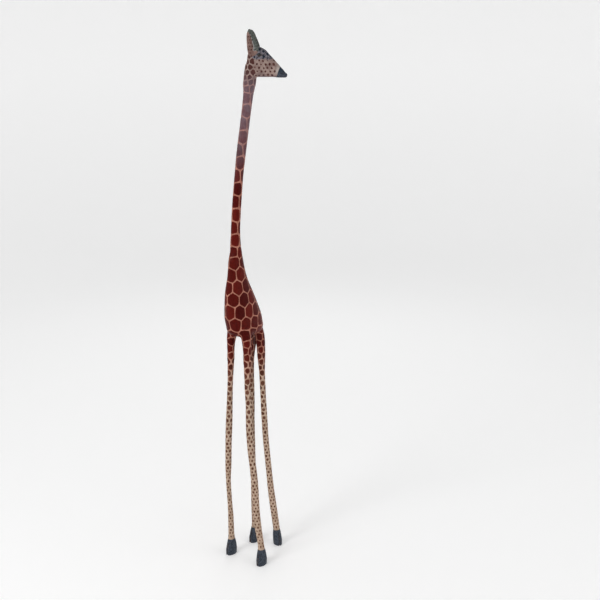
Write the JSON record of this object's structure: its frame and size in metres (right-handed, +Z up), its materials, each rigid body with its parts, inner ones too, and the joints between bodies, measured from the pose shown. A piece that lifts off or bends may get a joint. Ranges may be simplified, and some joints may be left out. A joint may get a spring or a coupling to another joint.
{
  "type": "carved giraffe statue",
  "caption": "Tall, slender standing giraffe carved from wood and painted with brown patches on tan, its head turned to its left, free-standing on flat hooves.",
  "frame": {"origin": "on the floor under the middle of the whole statue's bounding box", "axes": "+Z up, the giraffe faces -Y, its left side is +X"},
  "size_m": [0.165, 0.182, 1.5004],
  "materials": {
    "body_paint": "satin varnish over red-brown patches",
    "head_paint": "satin varnish over tan with brown marks",
    "leg_paint": "satin varnish over tan with dark brown spots",
    "ear_paint": "satin varnish over spotted brown with grey",
    "dark_paint": "satin varnish over dark grey",
    "dowel_wood": "plain turned wood"
  },
  "bodies": {
    "root": {"trunk": "body_paint", "neck": "body_paint", "head": "head_paint", "ear_right": "ear_paint", "ear_left": "ear_paint", "horn_right": "dark_paint", "horn_left": "dark_paint", "leg_front_right": "leg_paint", "leg_front_left": "leg_paint", "leg_rear_right": "leg_paint", "leg_rear_left": "leg_paint", "tail": "dark_paint", "neck_dowel": "dowel_wood", "head_dowel": "dowel_wood", "leg_front_right_dowel": "dowel_wood", "leg_front_left_dowel": "dowel_wood", "leg_rear_right_dowel": "dowel_wood", "leg_rear_left_dowel": "dowel_wood"}
  },
  "joints": []
}
